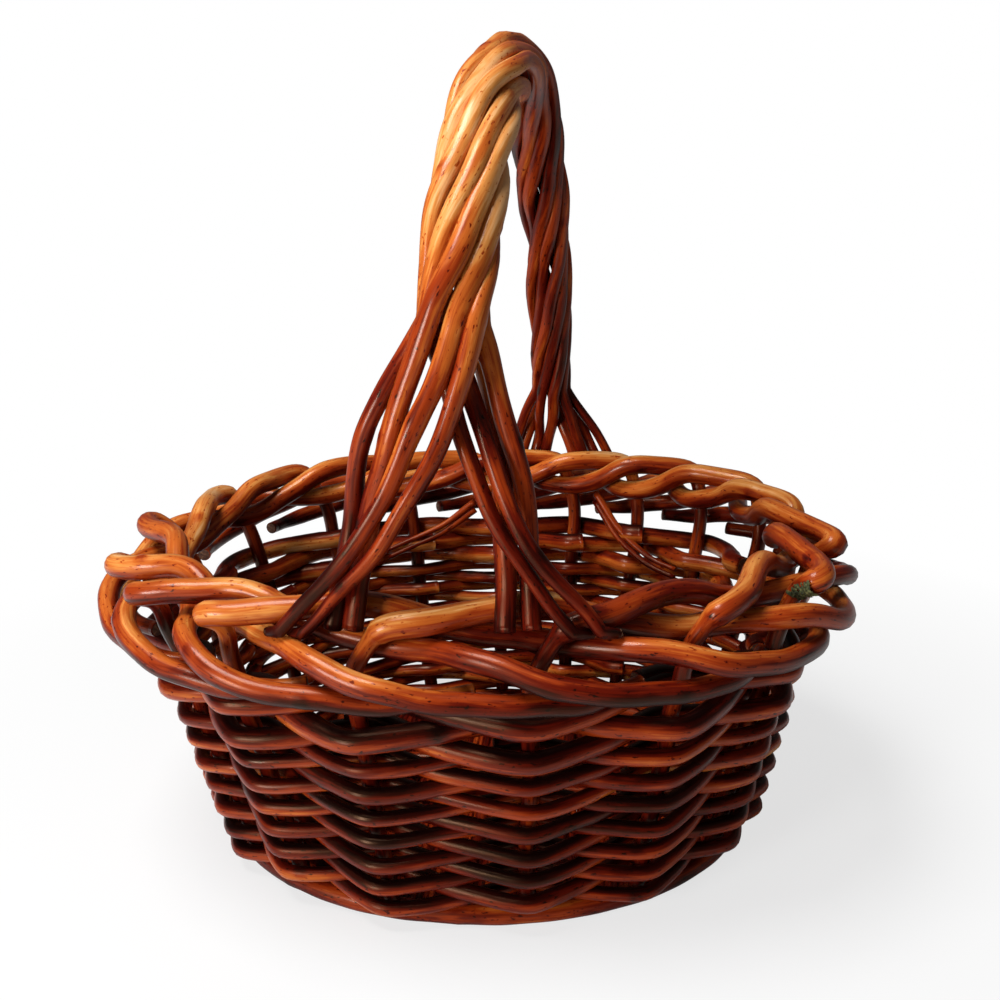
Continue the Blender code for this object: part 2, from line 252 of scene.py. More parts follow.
# The stakes, and the border rods that they bend into
BORDER_BUTT_SHARE = 1.04
BORDER_TAPER_SHARE = 0.16
TUCK_STEPS = ((4.30, 0.55, -1.16), (4.50, 0.05, -1.10))
TUCK_DIAMETER = 0.0066
ELBOW_SOFTENING = 0.0034
BORDER_WOBBLE = 0.0005
STAKE_SEED = 11
STAKE_TONES = (0.30, 0.32, 0.34, 0.36, 0.38)
TUCK_TONE = 0.34

# The border's tones, with places in turns: left of the front's middle, right of the back's. The
# rods' tops carry painted light from above and their undersides painted shade, and at the handle's
# front foot a painted shadow of the handle lies over a deeper stain.
BORDER_TONE = 0.33
BORDER_TONE_SPREAD = 0.10
BORDER_RISE_TONE = 0.06
BORDER_PAINTED_TOP_LIGHT = 0.22
FRONT_LEFT_TONE = 0.15
FRONT_LEFT_SHIFT = 0.15
BACK_RIGHT_TONE = 0.18
BACK_RIGHT_SHIFT = 0.10
HANDLE_FOOT_SHADOW_AND_STAIN = 0.12
HANDLE_FOOT_TURN = 0.77
HANDLE_FOOT_REACH = 0.06

# The handle's rods: how loose, flat and uneven they are, and how far their thin tips run on
BOW_POINTS = 150
HANDLE_LOOSENESS = 0.0009
HANDLE_LOOSE_LENGTHS = (0.07, 0.16)
HANDLE_SWELL_SHARE = 0.05
HANDLE_SWELL_LENGTHS = (0.06, 0.16)
HANDLE_PAIR_ANGLE = 3
HANDLE_PAIR_STEP = 0.0006
HANDLE_GIRTH_SHARE = 1.03
HANDLE_FLATNESS = 0.11
TIP_RUN_ON = (0.0070, 0.0065, -0.0030)
TIP_END_DIAMETER = 0.0034
HANDLE_WOBBLE = 0.0007
HANDLE_SEED = 23
# The handle's tones: lighter higher up, partly its stain and partly painted light from above
HANDLE_LOW_TONE = 0.23
HANDLE_RISE_TONE_AND_TOP_LIGHT = 0.68
HANDLE_RISE_START = 0.15
HANDLE_RISE_REACH = 0.16
HANDLE_BACK_TONE = 0.45
HANDLE_BACK_START = -0.06
HANDLE_BACK_REACH = 0.11
HANDLE_TONE_SPREAD = 0.08

# The loose ends inside the back wall, as turn, distance out and height along each
TAIL_ROUTES = {
    "right": (
        (0.191, -0.0120, 0.1320),
        (0.172, -0.0160, 0.1140),
        (0.149, -0.0165, 0.1020),
        (0.125, -0.0160, 0.0980),
    ),
    "left": (
        (0.266, -0.0130, 0.1260),
        (0.288, -0.0165, 0.1140),
        (0.325, -0.0165, 0.1020),
    ),
}
TAIL_DIAMETER = 0.0036
TAIL_BUTT_SHARE = 1.15
TAIL_TIP_SHARE = 0.7
TAIL_STEP = 0.0042
TAIL_KNOTS = 0.5
TAIL_TONE = 0.40
TAIL_TONE_STEP = 0.06
TAIL_SEED = 81

# The lichen: how its flakes spread over the border rod, and their sizes and heights
LICHEN_STAKE = 17
LICHEN_RADIUS = 0.0047
LICHEN_FLAKES = 130
LICHEN_FLAKE_SIZE = 0.0013
LICHEN_CORNERS = 6
LICHEN_SPREAD_ANGLE = 0.40
LICHEN_PLACES = (-0.1, 1.2)
LICHEN_SIZES = (0.5, 1.2)
LICHEN_LIFTS = (0.2, 0.6)
LICHEN_CORNER_REACHES = (0.6, 1.2)
LICHEN_NOISE = (700.0, 3.0, 0.6)
LICHEN_ROUGHNESS = (0.80, 0.95)
LICHEN_SEED = 5

# Scales of colours: the stain's by its tone, which also holds painted light and shade; the cut
# ends' and the lichen's by their noises
STAIN = (
    (0.00, (0.006, 0.001, 0.001)),
    (0.18, (0.024, 0.0012, 0.0008)),
    (0.36, (0.100, 0.0048, 0.0013)),
    (0.54, (0.262, 0.0280, 0.0034)),
    (0.72, (0.460, 0.1000, 0.0130)),
    (0.88, (0.620, 0.2350, 0.0520)),
    (1.00, (0.740, 0.3800, 0.1500)),
)
CUT_WOOD = ((0.3, (0.035, 0.010, 0.006)), (0.5, (0.10, 0.035, 0.016)), (0.75, (0.24, 0.11, 0.05)))
LICHEN_COLOURS = (
    (0.34, (0.008, 0.011, 0.003)),
    (0.52, (0.045, 0.052, 0.012)),
    (0.72, (0.160, 0.160, 0.055)),
)

# Noises in the bark and the cut ends: scale along the rod, across it, detail, roughness
GRAIN_NOISE = (45, 900, 4.0, 0.6)
STREAK_NOISE = (14, 330, 4.0, 0.65)
BLOTCH_NOISE = (22, 90, 3.0, 0.6)
DRIFT_NOISE = (9, 30, 2.0, 0.5)
SPECK_NOISE = (330, 800, 2.0, 0.5)
CUT_NOISE = (0, 700, 3.0, 0.6)

# Which range of a noise counts, and how much each one changes the tone and the relief
NOISE_RANGE = (0.3, 0.7)
STREAK_RANGE = (0.35, 0.65)
SPECK_RANGE = (0.64, 0.72)
LIGHTER_OR_DARKER = (-0.5, 0.5)
GRAIN_TONE = 0.12
STREAK_TONE = 0.24
BLOTCH_TONE = 0.38
DRIFT_TONE = 0.32
KNOT_TONE = -0.34
SPECK_TONE = -0.34
BLOTCH_RELIEF = 1.5
KNOT_RELIEF = 0.8

# The varnish, thicker where the tone is lighter, the painted light in the tone included
BARK_ROUGHNESS = (0.26, 0.44)
VARNISH_TONES = (0.32, 0.60)
VARNISH_WEIGHTS = (0.03, 0.40)
SHINE_COLOUR = (1.0, 0.54, 0.28, 1.0)

# The camera of the main view
CAMERA_PLACE = (0.0699, -0.5291, 0.3274)
CAMERA_RIGHT = (0.9945, 0.0998, -0.0321)
CAMERA_BACK = (0.1048, -0.9483, 0.2995)
LENS_LENGTH = 42.2
SENSOR_WIDTH = 36.0
NEAREST_SEEN = 0.01

# The surround, the floor and the lamps, each lamp with its place, aim, size and power
WHITE = (1.0, 1.0, 1.0, 1.0)
WORLD_STRENGTH = 0.09
FLOOR_HALF_SIZE = 4.0
FLOOR_HEIGHT = -0.0003
FLOOR_COLOUR = (0.78, 0.78, 0.78, 1.0)
FLOOR_ROUGHNESS = 0.9
FLOOR_CLEAR_REACH = (0.20, 0.46)
FLOOR_GLOW_SHARES = (0.72, 1.0)
LAMPS = (
    ("top_lamp", (-0.35, -0.25, 1.25), (0, 0, 0.15), 0.6, 16),
    ("front_lamp", (-0.80, -1.05, 0.42), (0, 0, 0.12), 0.45, 13),
)


def wall_frame(turn, height):
    """The point of the wall's middle surface at this turn and height, and the level way out."""
    rise = height / BORDER_HEIGHT
    half_length = FOOT_HALF_LENGTH + (BORDER_HALF_LENGTH - FOOT_HALF_LENGTH) * rise
    half_width = FOOT_HALF_WIDTH + (BORDER_HALF_WIDTH - FOOT_HALF_WIDTH) * rise
    power = FOOT_OVAL_POWER + (BORDER_OVAL_POWER - FOOT_OVAL_POWER) * rise
    across = sin(2 * pi * turn)
    along = cos(2 * pi * turn)
    reach = (abs(along) ** power + abs(across) ** power) ** (-1 / power)
    point = np.array((half_length * reach * along, half_width * reach * across, height))
    outward = np.array((
        np.sign(along) * abs(reach * along) ** (power - 1) / half_length,
        np.sign(across) * abs(reach * across) ** (power - 1) / half_width,
        0,
    ))
    return point, outward / np.linalg.norm(outward)


def wall_point(turn, out, height):
    """The point this far out from the wall's middle surface."""
    point, outward = wall_frame(turn, height)
    return point + outward * out


def stake_turn(step):
    """The turn reached after this many stakes, whole or not, counted past the first stake."""
    whole = int(np.floor(step))
    before = STAKE_TURN_SHARES[whole % STAKE_COUNT] + whole // STAKE_COUNT
    after = STAKE_TURN_SHARES[(whole + 1) % STAKE_COUNT] + (whole + 1) // STAKE_COUNT
    return before + (after - before) * (step - whole)


def border_point(step, out, rise):
    """A place in the border: stakes passed, then distance out and height in rod pitches."""
    pitch = BORDER_ROD_DIAMETER + GAP
    point = wall_point(stake_turn(step), out * pitch, BORDER_HEIGHT)
    return point + np.array((0, 0, rise * pitch))


def elbow_point(stake, number):
    """A stake's place at one of the border's steps, and its turn, with its elbow's own shift."""
    shift, out_shift = ELBOW_SHIFT_SHARES.get(stake + 1, (0, 0))
    passed, out, rise, part = BORDER_STEP_SHARES[number]
    step = stake + BORDER_LEAN_SHARE + passed + part * shift
    return border_point(step, out + part * out_shift, rise), stake_turn(step)


def smooth_path(knots):
    """A smooth curve through the knots."""
    knots = [np.asarray(knot, float) for knot in knots]
    ends = [2 * knots[0] - knots[1], *knots, 2 * knots[-1] - knots[-2]]
    fine = []
    for before, start, end, after in zip(ends, ends[1:], ends[2:], ends[3:]):
        for share in np.linspace(0, 1, SPAN_POINTS, endpoint=False):
            bend = (2 * before - 5 * start + 4 * end - after) * share * share
            turn = (3 * start - before - 3 * end + after) * share ** 3
            fine.append((2 * start + (end - before) * share + bend + turn) / 2)
    return np.array([*fine, knots[-1]])


def even_path(points, values):
    """The same path at even steps, with the values that belong to its points."""
    steps = np.linalg.norm(np.diff(points, axis=0), axis=1)
    lengths = np.concatenate([[0], np.cumsum(steps)])
    count = max(FEWEST_RINGS, int(round(lengths[-1] / RING_SPACING)) + 1)
    places = np.linspace(0, lengths[-1], count)
    even = np.stack([np.interp(places, lengths, points[:, axis]) for axis in range(3)], axis=1)
    return even, [np.interp(places, lengths, value) for value in values], places


def wander(random, places, size, lengths=DRIFT_LENGTHS):
    """A slow random drift along a rod, in waves of these lengths."""
    drift = np.zeros(len(places))
    for _ in range(DRIFT_WAVES):
        wave = random.uniform(*lengths)
        drift += np.sin(2 * pi * places / wave + random.uniform(0, 2 * pi))
    return size * drift / DRIFT_PEAK


def soften(path, reach):
    """Rounds a path's corners over this distance. Its ends stay."""
    for _ in range(int((reach / RING_SPACING) ** 2 * SOFTENING_PASSES)):
        path[1:-1] += ((path[:-2] + path[2:]) / 2 - path[1:-1]) / 2
    return path


def next_seed(random):
    """A seed for one rod's own draws."""
    return int(random.integers(SEED_LIMIT))


def unit(vector):
    """The vector's direction, with length 1."""
    return vector / np.linalg.norm(vector)


def rod_frames(path, facing=None):
    """The rod's direction and two ways square to it at each point, with no sudden twist."""
    ways = np.gradient(path, axis=0)
    ways /= np.linalg.norm(ways, axis=1)[:, None]
    if facing is not None:
        sides = facing - ways * (facing * ways).sum(axis=1)[:, None]
        sides /= np.linalg.norm(sides, axis=1)[:, None]
        return ways, sides, np.cross(ways, sides)
    upright = abs(ways[0][2]) >= NEARLY_UPRIGHT
    side = np.cross(ways[0], (1.0, 0.0, 0.0) if upright else (0.0, 0.0, 1.0))
    sides = []
    for way in ways:
        side = unit(side - way * (side @ way))
        sides.append(side)
    sides = np.array(sides)
    return ways, sides, np.cross(ways, sides)


def plain_girth(random, places, angles, diameters, flatness):
    """The rod's radius round its rings: a little oval, and thicker and thinner along it."""
    swell = wander(random, places, GIRTH_DRIFT_SHARE, GIRTH_DRIFT_LENGTHS)
    radii = diameters / 2 * (1 + swell)
    girth = radii[:, None] * np.ones(RING_SIDES)
    oval = random.uniform(*OVAL_SHARES)
    girth = girth * (1 + oval * np.cos(2 * (angles - random.uniform(0, pi)))[None])
    return girth * (1 - flatness * np.cos(2 * angles))[None]


def knotted_girth(random, places, angles, girth, knots):
    """The girth with knots of this strength along it, and how dark they mark the bark."""
    mark = np.zeros_like(girth)
    at = random.uniform(*FIRST_KNOT_PLACES)
    while at < places[-1] and knots:
        bearing = random.uniform(0, 2 * pi)
        lobe = np.clip(np.cos(angles - bearing), 0, 1) ** 3
        size = random.uniform(*KNOT_SIZES) * knots
        bump = np.exp(-(((places - at) / KNOT_LENGTH) ** 2))
        collar = np.exp(-(((places - at) / COLLAR_LENGTH) ** 2))
        bulge = KNOT_SWELL_SHARE * size * bump[:, None] * lobe[None]
        girth = girth * (1 + bulge + COLLAR_SWELL_SHARE * size * collar[:, None])
        mark = np.maximum(mark, size * bump[:, None] * lobe[None] ** 2)
        at += random.uniform(*KNOT_SPACINGS)
    return girth, mark


def add_object(name, data):
    """Puts a new object with this data into the scene."""
    thing = bpy.data.objects.new(name, data)
    bpy.context.scene.collection.objects.link(thing)
    return thing


class Willow:
    """Gathers rods into one mesh, with the values that the bark's material reads."""

    def __init__(self):
        self.count = 0
        self.points = []
        self.space = []
        self.tones = []
        self.marks = []
        self.faces = []
        self.kinds = []

    def add_points(self, points, space, tones, marks):
        """Adds points with their values, and returns the number of the first one."""
        first = self.count
        self.points.append(points.reshape(-1, 3))
        self.space.append(space.reshape(-1, 3))
        self.tones.append(tones.reshape(-1))
        self.marks.append(marks.reshape(-1))
        self.count += len(self.points[-1])
        return first

    def rod(self, path, diameters, tones, seed, wobble=WOBBLE, knots=1.0, closed=False,
            cut_ends=True, facing=None, flatness=0.0, softening=0.0, painted_underside_light=0.0, painted_crevice_shade=0.0):
        """Adds one willow rod: wobbling, a little oval, with knots along it and bevelled ends.

        With a facing, its flatter sides look that way. Its tone has painted light and shade on it:
        lighter where it looks down, as painted light bounced up from below, and darker where it
        lies against the rods above and below it, as painted shade. A negative underside strength
        makes its top lighter and its underside darker, as painted light from above.
        """
        random = np.random.default_rng(seed)
        path = np.asarray(path, float)
        diameters = np.broadcast_to(np.asarray(diameters, float), (len(path),))
        tones = np.broadcast_to(np.asarray(tones, float), (len(path),))
        facings = [] if facing is None else list(np.asarray(facing, float).T)
        path, (diameters, tones, *facings), places = even_path(path, (diameters, tones, *facings))
        facing = np.stack(facings, axis=1) if facings else None
        if softening:
            path = soften(path, softening)
        _, sides, ups = rod_frames(path, facing)
        fade = np.ones(len(path))
        if not closed:
            fade = np.clip(np.minimum(places, places[-1] - places) / STEADY_END_LENGTH, 0, 1)
        path = path + sides * (wander(random, places, wobble) * fade)[:, None]
        path = path + ups * (wander(random, places, wobble) * fade)[:, None]
        ways, sides, ups = rod_frames(path, facing)

        angles = 2 * pi * np.arange(RING_SIDES) / RING_SIDES
        girth = plain_girth(random, places, angles, diameters, flatness)
        girth, marks = knotted_girth(random, places, angles, girth, knots)
        across = np.cos(angles)[None, :, None] * sides[:, None]
        across = across + np.sin(angles)[None, :, None] * ups[:, None]
        rings = path[:, None] + girth[:, :, None] * across
        along = (places + random.uniform(0, LONGEST_BARK_SHIFT))[:, None] * np.ones(RING_SIDES)
        space = np.stack([along, girth * np.cos(angles), girth * np.sin(angles)], axis=2)
        # Painted light and shade on the tone: lighter where the rod looks down, darker where it
        # meets the rods above and below
        upward = across[:, :, 2]
        tones_with_painted_light = tones[:, None] - painted_underside_light * upward - painted_crevice_shade * upward ** 2
        first = self.add_points(rings, space, tones_with_painted_light, marks)

        rows = len(path)
        for row in range(rows if closed else rows - 1):
            here = first + row * RING_SIDES
            there = first + (row + 1) % rows * RING_SIDES
            for side in range(RING_SIDES):
                beside = (side + 1) % RING_SIDES
                self.faces.append((here + side, there + side, there + beside, here + beside))
                self.kinds.append(BARK_FACE)
        if closed:
            return
        for last, row in ((False, 0), (True, rows - 1)):
            outward = ways[row] if last else -ways[row]
            start = first + row * RING_SIDES
            self.cap(rings[row], path[row], outward, space[row], tones[row], start, last, cut_ends)

    def cap(self, ring, middle, way, space, tone, first, last, cut):
        """Closes an end with a small bevel and a face, which is cut wood or bark."""
        small = middle + (ring - middle) * BEVEL_SHARE + way * BEVEL_DEPTH
        start = self.add_points(
            np.vstack([small, [middle + way * BEVEL_DEPTH * END_DOME_SHARE]]),
            np.vstack([space * (1, BEVEL_SHARE, BEVEL_SHARE), [space.mean(0)]]),
            np.full(RING_SIDES + 1, tone),
            np.zeros(RING_SIDES + 1),
        )
        for side in range(RING_SIDES):
            beside = (side + 1) % RING_SIDES
            edge = (first + side, first + beside, start + beside, start + side)
            fan = (start + side, start + beside, start + RING_SIDES)
            self.faces += [edge, fan] if last else [edge[::-1], fan[::-1]]
            self.kinds += [BARK_FACE, CUT_FACE if cut else BARK_FACE]

    def piece(self, name, materials, slot, *nodes):
        """Makes the Blender object and hides the solids of the part that it stands for."""
        low = np.array(cad_box[0]) + BOX_MARGIN
        high = np.array(cad_box[1]) - BOX_MARGIN
        points = np.clip(np.vstack(self.points), low, high)
        mesh = bpy.data.meshes.new(name)
        mesh.from_pydata(points.tolist(), [], self.faces)
        mesh.polygons.foreach_set("material_index", self.kinds)
        mesh.polygons.foreach_set("use_smooth", [kind == BARK_FACE for kind in self.kinds])
        space = mesh.attributes.new("rod_space", "FLOAT_VECTOR", "POINT")
        space.data.foreach_set("vector", np.vstack(self.space).ravel())
        # The tone attribute holds the stain with painted light and shade on it
        for label, values in (("tone", self.tones), ("knot", self.marks)):
            attribute = mesh.attributes.new(label, "FLOAT", "POINT")
            attribute.data.foreach_set("value", np.concatenate(values))
        for material in materials:
            mesh.materials.append(material)
        mesh.update()
        thing = add_object(name, mesh)
        if nodes:
            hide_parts(*nodes)
        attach(thing, "root")


class Graph:
    """Short hand for the nodes of a material, or of the world."""

    def __init__(self, data, shader="Principled BSDF"):
        data.use_nodes = True
        self.tree = data.node_tree
        self.shader = self.tree.nodes[shader]

    def fill(self, node, inputs):
        """Sets a node's inputs to plain values, or links other nodes' outputs to them."""
        for key, value in inputs.items():
            if isinstance(value, bpy.types.NodeSocket):
                self.tree.links.new(value, node.inputs[key])
            else:
                node.inputs[key].default_value = value

    def node(self, kind, inputs, **settings):
        """A new node with these inputs and settings."""
        made = self.tree.nodes.new(kind)
        for key, value in settings.items():
            setattr(made, key, value)
        self.fill(made, inputs)
        return made

    def attribute(self, name, output):
        """A value that the mesh holds at its points."""
        return self.node("ShaderNodeAttribute", {}, attribute_name=name).outputs[output]

    def noise(self, vector, scale, detail, rough):
        """A noise, about 0.5 on average."""
        inputs = {"Vector": vector, "Scale": scale, "Detail": detail, "Roughness": rough}
        return self.node("ShaderNodeTexNoise", inputs).outputs["Fac"]

    def rod_noise(self, space, along, across, detail, rough):
        """A noise with one scale along the rod and another across it."""
        inputs = {"Vector": space, "Scale": (along, across, across)}
        stretched = self.node("ShaderNodeMapping", inputs).outputs["Vector"]
        return self.noise(stretched, 1.0, detail, rough)

    def between(self, value, given, wanted=(0.0, 1.0)):
        """The value, moved from the given range to the wanted one and kept inside it."""
        made = self.node("ShaderNodeMapRange", {
            "Value": value,
            "From Min": given[0],
            "From Max": given[1],
            "To Min": wanted[0],
            "To Max": wanted[1],
        })
        return made.outputs["Result"]

    def sum(self, first, second, share):
        """first + share * second"""
        inputs = {0: second, 1: share, 2: first}
        return self.node("ShaderNodeMath", inputs, operation="MULTIPLY_ADD").outputs["Value"]

    def ramp(self, value, stops):
        """The value's colour on a scale that eases from stop to stop."""
        made = self.node("ShaderNodeValToRGB", {"Fac": value})
        made.color_ramp.interpolation = "EASE"
        elements = made.color_ramp.elements
        for element, (place, colour) in zip(elements, (stops[0], stops[-1])):
            element.position = place
            element.color = (*colour, 1.0)
        for place, colour in stops[1:-1]:
            elements.new(place).color = (*colour, 1.0)
        return made.outputs["Color"]

    def bump(self, height, strength, distance):
        """A relief of this height, as a bent normal."""
        inputs = {"Height": height, "Strength": strength, "Distance": distance}
        return self.node("ShaderNodeBump", inputs).outputs["Normal"]

    def camera_ray(self):
        """1 for what the camera sees directly, otherwise 0."""
        return self.node("ShaderNodeLightPath", {}).outputs["Is Camera Ray"]

    def mixed(self, share, first, second):
        """The first shader, with this share of the second."""
        inputs = {"Fac": share, 1: first, 2: second}
        return self.node("ShaderNodeMixShader", inputs).outputs["Shader"]


def bark_material():
    """Stained and varnished willow bark: lengthwise streaks, blotches, specks and dark knots."""
    material = bpy.data.materials.new("varnished_willow")
    graph = Graph(material)
    space = graph.attribute("rod_space", "Vector")
    tone = graph.attribute("tone", "Fac")
    knot = graph.attribute("knot", "Fac")
    grain = graph.rod_noise(space, *GRAIN_NOISE)
    streak = graph.rod_noise(space, *STREAK_NOISE)
    blotch = graph.rod_noise(space, *BLOTCH_NOISE)
    drift = graph.rod_noise(space, *DRIFT_NOISE)
    speck = graph.between(graph.rod_noise(space, *SPECK_NOISE), SPECK_RANGE)
    # The tone already holds painted light and shade from the rods, which the colour scale turns
    # into colour
    stain_and_painted_light = tone
    for noise, given, share in (
        (grain, NOISE_RANGE, GRAIN_TONE),
        (streak, STREAK_RANGE, STREAK_TONE),
        (blotch, NOISE_RANGE, BLOTCH_TONE),
        (drift, NOISE_RANGE, DRIFT_TONE),
    ):
        stain_and_painted_light = graph.sum(stain_and_painted_light, graph.between(noise, given, LIGHTER_OR_DARKER), share)
    stain_and_painted_light = graph.sum(stain_and_painted_light, knot, KNOT_TONE)
    stain_and_painted_light = graph.sum(stain_and_painted_light, speck, SPECK_TONE)
    relief = graph.sum(grain, blotch, BLOTCH_RELIEF)
    relief = graph.sum(relief, knot, KNOT_RELIEF)
    graph.fill(graph.shader, {
        "Base Color": graph.ramp(stain_and_painted_light, STAIN),
        "Roughness": graph.between(blotch, NOISE_RANGE, BARK_ROUGHNESS),
        "IOR": 1.33,
        "Specular IOR Level": 0.5,
        "Specular Tint": SHINE_COLOUR,
        "Coat Weight": graph.between(tone, VARNISH_TONES, VARNISH_WEIGHTS),
        "Coat Roughness": 0.17,
        "Coat IOR": 1.40,
        "Normal": graph.bump(relief, strength=0.35, distance=0.0004),
    })
    return material


def cut_material():
    """The sawn end of a rod: darker, dull and fibrous."""
    material = bpy.data.materials.new("cut_willow")
    graph = Graph(material)
    fibres = graph.rod_noise(graph.attribute("rod_space", "Vector"), *CUT_NOISE)
    graph.fill(graph.shader, {
        "Base Color": graph.ramp(fibres, CUT_WOOD),
        "Roughness": 0.7,
        "Normal": graph.bump(fibres, strength=0.4, distance=0.0003),
    })
    return material


def lichen_material():
    """Dull grey-green crust, paler in patches."""
    material = bpy.data.materials.new("grey_green_lichen")
    graph = Graph(material)
    place = graph.node("ShaderNodeTexCoord", {}).outputs["Object"]
    patches = graph.noise(place, *LICHEN_NOISE)
    graph.fill(graph.shader, {
        "Base Color": graph.ramp(patches, LICHEN_COLOURS),
        "Roughness": graph.between(patches, NOISE_RANGE, LICHEN_ROUGHNESS),
    })
    return material


def oval_reach(place, half_size, other_half_size):
    """How far the foot's oval reaches to the side at this place along one of its axes."""
    share = 1 - (place / half_size) ** FOOT_OVAL_POWER
    return other_half_size * share ** (1 / FOOT_OVAL_POWER)


def make_hoop(materials):
    """The thick rod round the bottom edge, closed on itself."""
    turns = np.linspace(0, 1, HOOP_POINTS, endpoint=False)
    path = [wall_point(turn, 0, HOOP_HEIGHT / 2) for turn in turns]
    willow = Willow()
    willow.rod(path, HOOP_DIAMETER * HOOP_GIRTH_SHARE, HOOP_TONE, HOOP_SEED, wobble=0.0,
               knots=HOOP_KNOTS, closed=True)
    willow.piece("foot_rod", materials, "amber_willow", "foot_hoop")


def make_sticks(materials):
    """The sticks across the bottom, and over them the sticks along it."""
    radius = BASE_STICK_DIAMETER / 2
    low = BASE_THICKNESS + GAP + radius * FLAT_SHARE
    high = low + BASE_STICK_DIAMETER * FLAT_SHARE + GAP
    for number in range(SHORT_STICK_COUNT):
        x = (number - (SHORT_STICK_COUNT - 1) / 2) * SHORT_STICK_SPACING_SHARE * FOOT_HALF_LENGTH
        reach = oval_reach(abs(x) + radius, FOOT_HALF_LENGTH, FOOT_HALF_WIDTH)
        end = reach - HOOP_DIAMETER / 2 - STICK_END_GAP
        path = [(x, -end, low), (x, 0, low), (x, end, low)]
        node = f"base_stick_short_{number + 1}"
        willow = Willow()
        willow.rod(path, BASE_STICK_DIAMETER, SHORT_STICK_TONE, SHORT_STICK_SEED + number)
        willow.piece(f"cross_stick_{number + 1}", materials, "red_willow", node)
    for number in range(LONG_STICK_COUNT):
        y = (number - (LONG_STICK_COUNT - 1) / 2) * LONG_STICK_SPACING_SHARE * FOOT_HALF_WIDTH
        reach = oval_reach(abs(y) + radius, FOOT_HALF_WIDTH, FOOT_HALF_LENGTH)
        end = reach - STAKE_DIAMETER / 2 - ROW_DIAMETER - WEAVE_GAP - STICK_END_GAP
        path = [(-end, y, high), (0, y, high), (end, y, high)]
        node = f"base_stick_long_{number + 1}"
        willow = Willow()
        willow.rod(path, BASE_STICK_DIAMETER, LONG_STICK_TONE, LONG_STICK_SEED + number)
        willow.piece(f"long_stick_{number + 1}", materials, "red_willow", node)


def make_bottom(materials):
    """The thin weavers across the bottom. Each one rises where the next one dips."""
    willow = Willow()
    random = np.random.default_rng(BOTTOM_SEED)
    quarter = np.linspace(0.25, 0.0, BOTTOM_EDGE_POINTS)
    edge = np.array([wall_point(turn, BOTTOM_EDGE_OUT, 0) for turn in quarter])
    reach = edge[-1][0] - BOTTOM_WEAVER_DIAMETER / 2
    count = int(np.ceil(reach / BOTTOM_WIDEST_PITCH))
    for number in range(-count, count + 1):
        x = reach * number / count
        end = np.interp(abs(x) - BOTTOM_WEAVER_DIAMETER / 2, edge[:, 0], edge[:, 1])
        knots = []
        for y in np.linspace(-end, end, max(BOTTOM_FEWEST_KNOTS, int(end / BOTTOM_KNOT_SPACING))):
            lift = BOTTOM_LIFT * cos(pi * y / BOTTOM_WAVE + pi * number)
            knots.append((x, y, BASE_THICKNESS / 2 + lift))
        tone = BOTTOM_TONE + random.uniform(*BOTTOM_TONE_SPREAD)
        willow.rod(knots, BOTTOM_WEAVER_DIAMETER, tone, next_seed(random), wobble=BOTTOM_WOBBLE)
    willow.piece("woven_bottom", materials, "dark_willow", "base_weave")


def sway(step):
    """1 on a whole even step, -1 on a whole odd one, nearly straight between them."""
    return asin(SWAY_FIRMNESS * cos(pi * step)) / asin(SWAY_FIRMNESS)


def row_levels():
    """Each row's height and diameter, from the hoop up."""
    rows = []
    height = HOOP_HEIGHT
    for number in range(ROW_COUNT + TOP_ROW_COUNT):
        diameter = ROW_DIAMETER if number < ROW_COUNT else TOP_ROW_DIAMETER
        height += diameter / 2 * FLAT_SHARE + GAP
        rows.append((height, diameter))
        height += diameter / 2 * FLAT_SHARE
    return rows


def splice_stakes(random, number, rods):
    """The stakes at which a row's rods end, each a stake that the row passes on the inside."""
    reach = STAKE_COUNT // rods
    first = number % 2 + 2 * int(random.integers(0, SPLICE_CHOICES))
    first += number * SPLICE_STEPS % reach // 2 * 2
    stakes = [first + rod * reach for rod in range(rods + 1)]
    return [stake + (stake + number) % 2 for stake in stakes]


def wall_tone(turn):
    """How light the wall's tone is: darkest at the front middle, lighter at the back."""
    front = 0.5 - 0.5 * sin(2 * pi * turn)
    return WALL_BACK_TONE - WALL_FRONT_DARKENING * front ** 2


